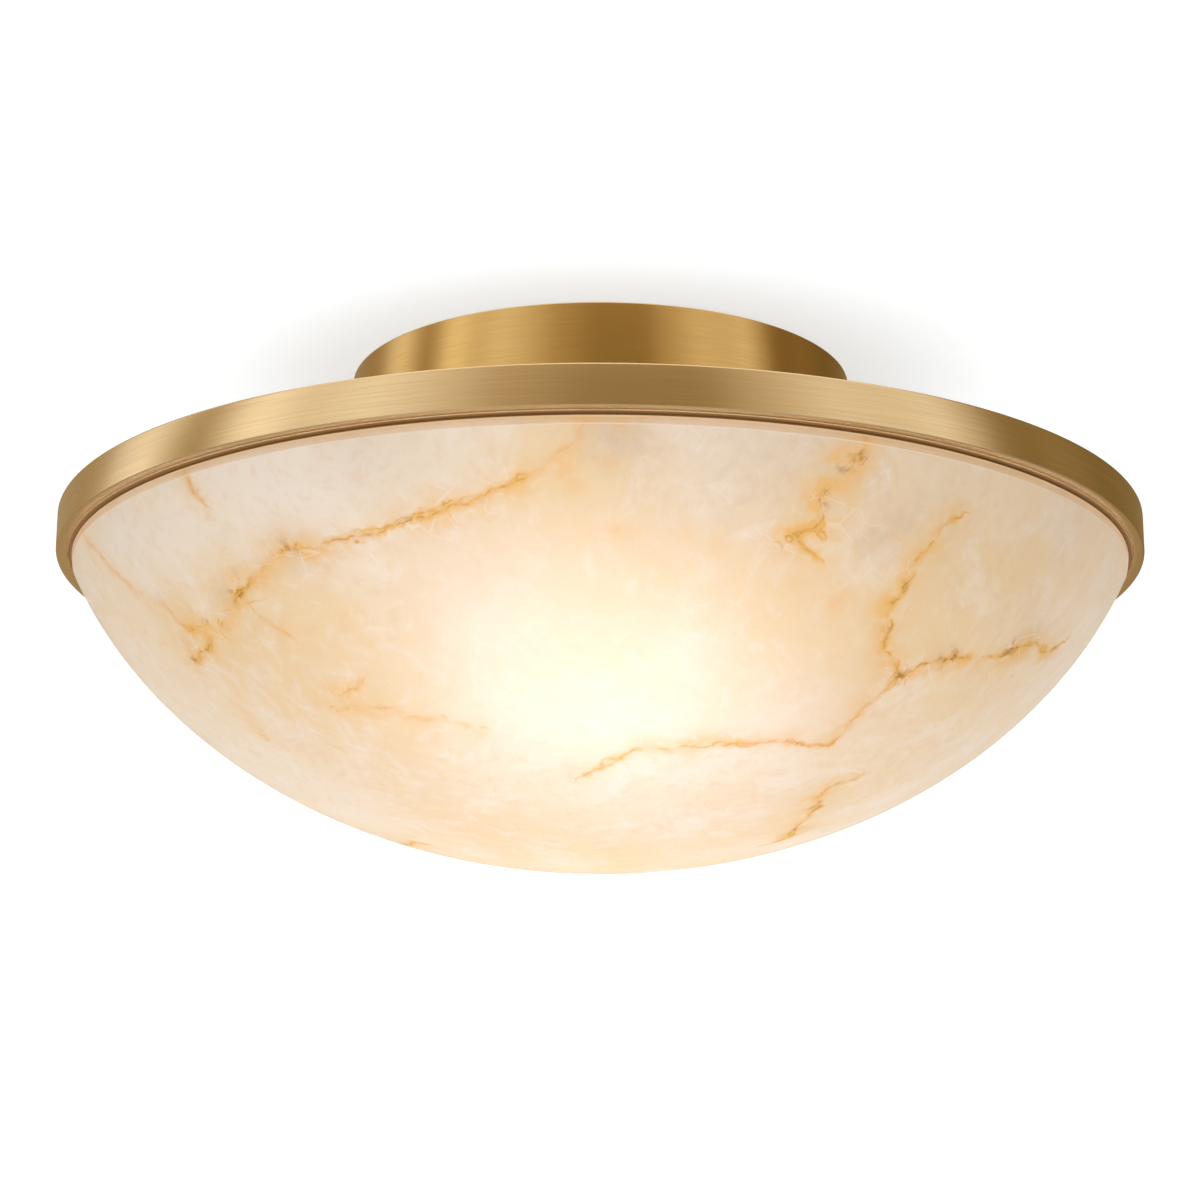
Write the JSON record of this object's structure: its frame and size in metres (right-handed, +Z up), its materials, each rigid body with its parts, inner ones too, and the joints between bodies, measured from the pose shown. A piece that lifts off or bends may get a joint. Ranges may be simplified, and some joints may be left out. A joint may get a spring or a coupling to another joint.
{
  "type": "ceiling light",
  "caption": "Flush ceiling light: a shallow veined alabaster bowl in a flat brass ring, hung by knurled nuts under a round brass drum, with a diode lamp and driver inside.",
  "frame": {"origin": "centre of the face that meets the ceiling, where the strap's and the canopy's top faces lie", "axes": "+Z is up into the ceiling, the light hangs below z = 0; +X runs along the mounting strap; -Y is the side that the picture shows"},
  "size_m": [0.457, 0.457, 0.208],
  "materials": {
    "satin_brass": "brushed along the ring, satin",
    "amber_brass": "brushed round the drum, satin, a deeper tone",
    "alabaster": "polished, cream with brown veins, lit from inside",
    "zinc_steel": "zinc plated",
    "white_enamel": "white enamel, reflective",
    "white_plastic": "moulded, matte",
    "board_white": "white solder mask",
    "diode_yellow": "phosphor under clear resin",
    "bare_aluminium": "machined",
    "opal_plastic": "opal, lit",
    "black_rubber": "soft, matte",
    "green_insulation": "insulated lead",
    "green_steel": "green earth screw",
    "brown_insulation": "insulated lead",
    "red_insulation": "insulated lead"
  },
  "bodies": {
    "ceiling_frame": {"mounting_strap": "zinc_steel", "hanging_rods": "zinc_steel", "strap_nuts": "zinc_steel", "canopy": "amber_brass", "canopy_foot": "amber_brass", "canopy_rivets": "zinc_steel", "pan": "white_enamel", "rod_washers": "zinc_steel", "cap_nuts": "satin_brass", "led_driver": "white_plastic", "driver_screws": "zinc_steel", "terminal_block": "white_plastic", "terminal_screws": "satin_brass", "block_screw": "zinc_steel", "earth_screws": "green_steel", "block_earth_lead": "green_insulation", "strap_earth_lead": "green_insulation", "mains_leads": "brown_insulation", "led_leads": "red_insulation", "grommet": "black_rubber", "heat_sink": "bare_aluminium", "led_board": "board_white", "led_chips": "diode_yellow", "led_connector": "white_plastic", "module_screws": "zinc_steel", "diffuser": "opal_plastic", "diffuser_screws": "zinc_steel", "nut_washers": "satin_brass"},
    "shade": {"rim_ring": "satin_brass", "bowl_gasket": "black_rubber", "alabaster_bowl": "alabaster", "retaining_clips": "zinc_steel", "clip_pads": "black_rubber", "clip_screws": "zinc_steel", "shade_studs": "zinc_steel"},
    "thumb_nut_1": {"thumb_nut_1": "satin_brass"},
    "thumb_nut_2": {"thumb_nut_2": "satin_brass"},
    "thumb_nut_3": {"thumb_nut_3": "satin_brass"}
  },
  "joints": [
    {"name": "shade_drop", "type": "slide", "parent": "ceiling_frame", "child": "shade", "axis": [0, 0, -1], "range_m": [0, 0.16]},
    {"name": "nut_1_turn", "type": "hinge", "parent": "ceiling_frame", "child": "thumb_nut_1", "pos_m": [0, 0.20598, -0.068], "axis": [0, 0, 1], "continuous": true},
    {"name": "nut_2_turn", "type": "hinge", "parent": "ceiling_frame", "child": "thumb_nut_2", "pos_m": [-0.17838, -0.10299, -0.068], "axis": [0, 0, 1], "continuous": true},
    {"name": "nut_3_turn", "type": "hinge", "parent": "ceiling_frame", "child": "thumb_nut_3", "pos_m": [0.17838, -0.10299, -0.068], "axis": [0, 0, 1], "continuous": true}
  ]
}
